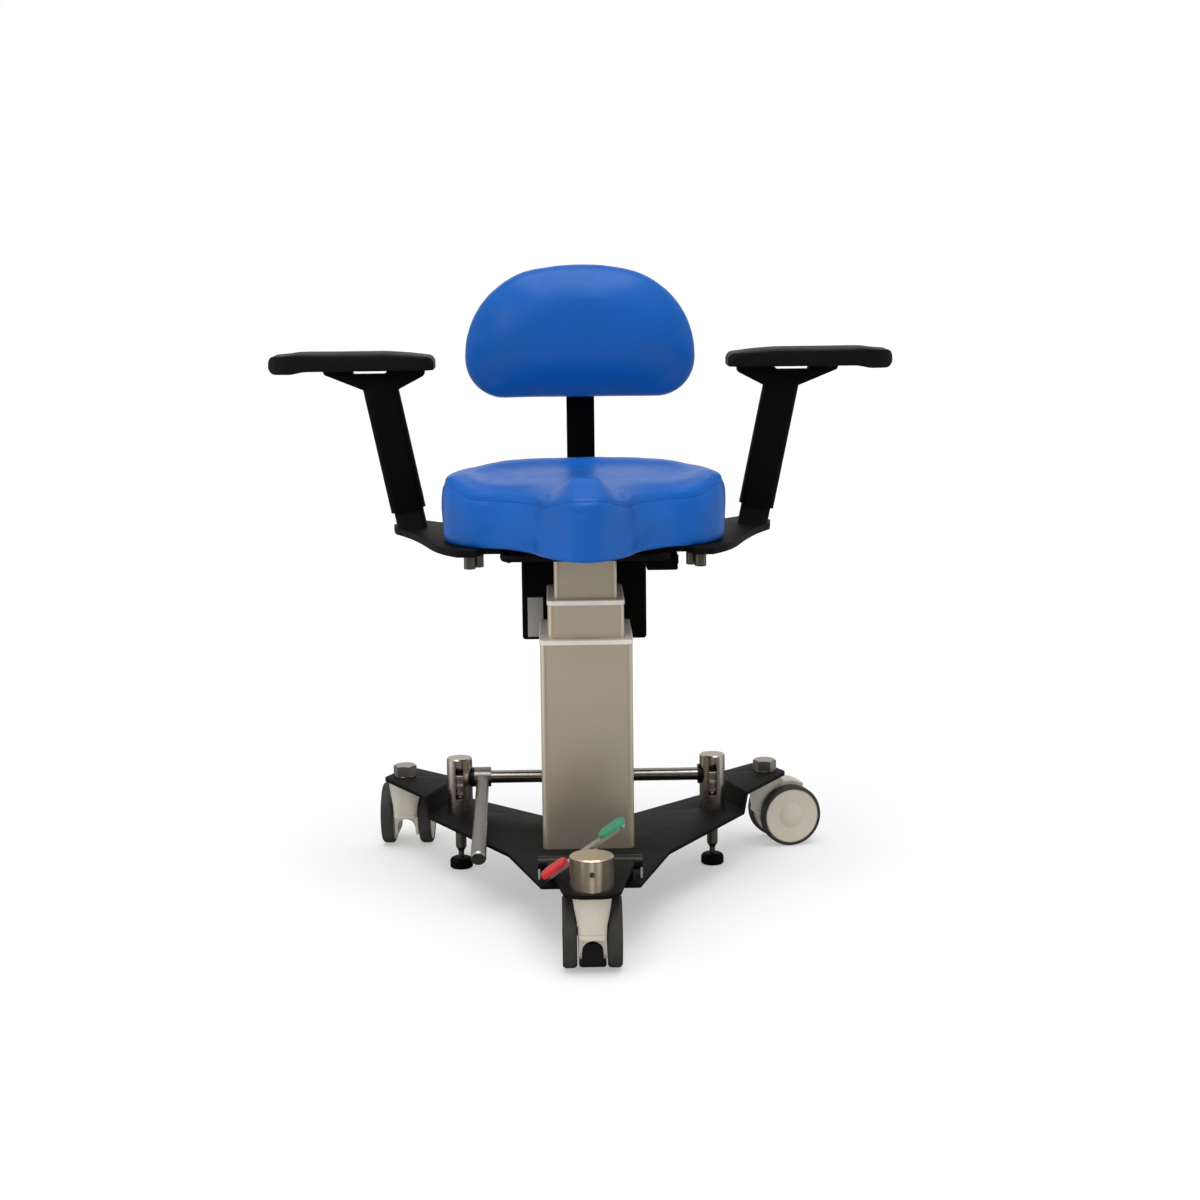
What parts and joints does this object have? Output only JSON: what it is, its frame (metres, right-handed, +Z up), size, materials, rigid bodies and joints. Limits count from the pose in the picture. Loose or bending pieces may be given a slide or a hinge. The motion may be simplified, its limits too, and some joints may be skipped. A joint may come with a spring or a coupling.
{
  "type": "dental operator chair",
  "caption": "Electrically raised operator chair with a split saddle seat, wide armrests, low backrest, castor base and lever-worked floor brake.",
  "frame": {"origin": "centre of the footprint's bounding box on the floor", "axes": "+Z up, the sitter faces -Y, +X is the right-hand side seen from in front (the sitter's left)"},
  "size_m": [0.9628, 0.777, 0.947],
  "materials": {
    "black_sheet": "fine-textured black powder coat",
    "black_tube": "black powder coat",
    "lug_grey": "light grey paint",
    "stainless": "turned stainless steel",
    "zinc_steel": "zinc-plated steel",
    "black_plastic": "moulded black plastic",
    "column_grey": "warm grey satin anodised extrusion",
    "rim_grey": "light grey moulded plastic",
    "castor_grey": "light warm grey moulded plastic",
    "tread_grey": "dark grey soft tread",
    "pad_rubber": "black rubber",
    "pedal_red": "moulded red plastic",
    "pedal_green": "moulded green plastic",
    "glide_white": "white acetal",
    "motor_grey": "dark grey housing",
    "upholstery_blue": "blue artificial leather",
    "board_wood": "birch plywood",
    "arm_pad_black": "soft black polyurethane"
  },
  "bodies": {
    "base": {"base_plate": "black_sheet", "front_tongue": "black_sheet", "front_bar": "black_tube", "bar_lugs": "lug_grey", "stem_socket": "stainless", "castor_stems": "zinc_steel", "stem_bolts": "zinc_steel", "brake_post_left": "stainless", "brake_post_right": "stainless", "post_bushes": "black_plastic", "column_outer": "column_grey", "column_outer_rim": "rim_grey", "lift_motor": "motor_grey", "lift_guide": "zinc_steel"},
    "middle_stage": {"column_middle": "column_grey", "column_middle_rim": "rim_grey", "middle_glides": "glide_white"},
    "seat": {"column_inner": "column_grey", "inner_glides": "glide_white", "lift_ram": "zinc_steel", "seat_frame": "black_sheet", "seat_board": "board_wood", "seat_cushion": "upholstery_blue", "battery_box": "black_plastic", "control_box": "black_plastic", "arm_bracket_left": "black_sheet", "arm_bracket_right": "black_sheet", "wing_bolts": "zinc_steel", "back_bar": "black_sheet"},
    "rocker": {"lift_rocker": "black_plastic"},
    "arm_left": {"arm_sleeve_left": "black_plastic", "arm_pad_left": "arm_pad_black"},
    "arm_right": {"arm_sleeve_right": "black_plastic", "arm_pad_right": "arm_pad_black"},
    "button_left": {"arm_button_left": "black_plastic"},
    "button_right": {"arm_button_right": "black_plastic"},
    "carriage": {"back_carriage": "black_plastic"},
    "knob": {"back_knob": "black_plastic"},
    "backrest": {"back_board": "black_plastic", "back_cushion": "upholstery_blue"},
    "brake": {"brake_shaft": "stainless", "brake_cams": "zinc_steel", "brake_lever": "stainless"},
    "foot_left": {"brake_rod_left": "stainless", "brake_pad_left": "pad_rubber"},
    "foot_right": {"brake_rod_right": "stainless", "brake_pad_right": "pad_rubber"},
    "pedal": {"pedal_bar": "zinc_steel", "pedal_pad_lock": "pedal_red", "pedal_pad_free": "pedal_green"},
    "castor_front": {"castor_hood_front": "castor_grey", "castor_lock": "black_plastic"},
    "wheels_front": {"castor_wheels_front": "castor_grey", "castor_treads_front": "tread_grey"},
    "castor_left": {"castor_hood_left": "castor_grey"},
    "wheels_left": {"castor_wheels_left": "castor_grey", "castor_treads_left": "tread_grey"},
    "castor_right": {"castor_hood_right": "castor_grey"},
    "wheels_right": {"castor_wheels_right": "castor_grey", "castor_treads_right": "tread_grey"}
  },
  "joints": [
    {"name": "middle_lift", "type": "slide", "parent": "base", "child": "middle_stage", "axis": [0, 0, 1], "range_m": [-0.045, 0.055]},
    {"name": "seat_lift", "type": "slide", "parent": "middle_stage", "child": "seat", "axis": [0, 0, 1], "range_m": [-0.045, 0.055]},
    {"name": "lift_rocker_tilt", "type": "hinge", "parent": "seat", "child": "rocker", "pos_m": [0.131, 0.0415, 0.512], "axis": [0, 0, 1], "range_deg": [-6, 6], "stiffness_Nm_per_rad": 0.6},
    {"name": "arm_height_left", "type": "slide", "parent": "seat", "child": "arm_left", "axis": [-0.1994, 0, 0.9799], "range_m": [-0.02, 0.06]},
    {"name": "arm_button_press_left", "type": "slide", "parent": "arm_left", "child": "button_left", "axis": [0, -1, 0], "range_m": [0, 0.002], "stiffness_N_per_m": 2000},
    {"name": "arm_height_right", "type": "slide", "parent": "seat", "child": "arm_right", "axis": [0.1994, 0, 0.9799], "range_m": [-0.02, 0.06]},
    {"name": "arm_button_press_right", "type": "slide", "parent": "arm_right", "child": "button_right", "axis": [0, -1, 0], "range_m": [0, 0.002], "stiffness_N_per_m": 2000},
    {"name": "back_height", "type": "slide", "parent": "seat", "child": "carriage", "axis": [0, 0, 1], "range_m": [-0.06, 0.025]},
    {"name": "back_knob_turn", "type": "hinge", "parent": "carriage", "child": "knob", "pos_m": [0, 0.3695, 0.815], "axis": [0, 1, 0], "range_deg": [0, 360]},
    {"name": "back_tilt", "type": "hinge", "parent": "carriage", "child": "backrest", "pos_m": [0, 0.3395, 0.835], "axis": [1, 0, 0], "range_deg": [-8, 8]},
    {"name": "brake_lever_lift", "type": "hinge", "parent": "base", "child": "brake", "pos_m": [0, 0.1785, 0.1465], "axis": [-1, 0, 0], "range_deg": [0, 60]},
    {"name": "brake_foot_left", "type": "slide", "parent": "base", "child": "foot_left", "axis": [0, 0, 1], "range_m": [0, 0.006]},
    {"name": "brake_foot_right", "type": "slide", "parent": "base", "child": "foot_right", "axis": [0, 0, 1], "range_m": [0, 0.006]},
    {"name": "pedal_rock", "type": "hinge", "parent": "base", "child": "pedal", "pos_m": [0, -0.3015, 0.146], "axis": [0, 1, 0], "range_deg": [0, 70]},
    {"name": "castor_swivel_front", "type": "hinge", "parent": "base", "child": "castor_front", "pos_m": [0, -0.3535, 0.1], "axis": [0, 0, 1], "continuous": true},
    {"name": "castor_roll_front", "type": "hinge", "parent": "castor_front", "child": "wheels_front", "pos_m": [0, -0.3195, 0.05], "axis": [1, 0, 0], "continuous": true},
    {"name": "castor_swivel_left", "type": "hinge", "parent": "base", "child": "castor_left", "pos_m": [-0.294, 0.3015, 0.1], "axis": [0, 0, 1], "continuous": true},
    {"name": "castor_roll_left", "type": "hinge", "parent": "castor_left", "child": "wheels_left", "pos_m": [-0.29222, 0.33545, 0.05], "axis": [0.9986, -0.0523, 0], "continuous": true},
    {"name": "castor_swivel_right", "type": "hinge", "parent": "base", "child": "castor_right", "pos_m": [0.294, 0.3015, 0.1], "axis": [0, 0, 1], "continuous": true},
    {"name": "castor_roll_right", "type": "hinge", "parent": "castor_right", "child": "wheels_right", "pos_m": [0.32699, 0.30972, 0.05], "axis": [0.2419, -0.9703, 0], "continuous": true}
  ],
  "couplings": [
    {"joint": "seat_lift", "follows": "middle_lift", "ratio": 1},
    {"joint": "brake_foot_left", "follows": "brake_lever_lift", "m_per_rad": 0.00572},
    {"joint": "brake_foot_right", "follows": "brake_lever_lift", "m_per_rad": 0.00572}
  ]
}
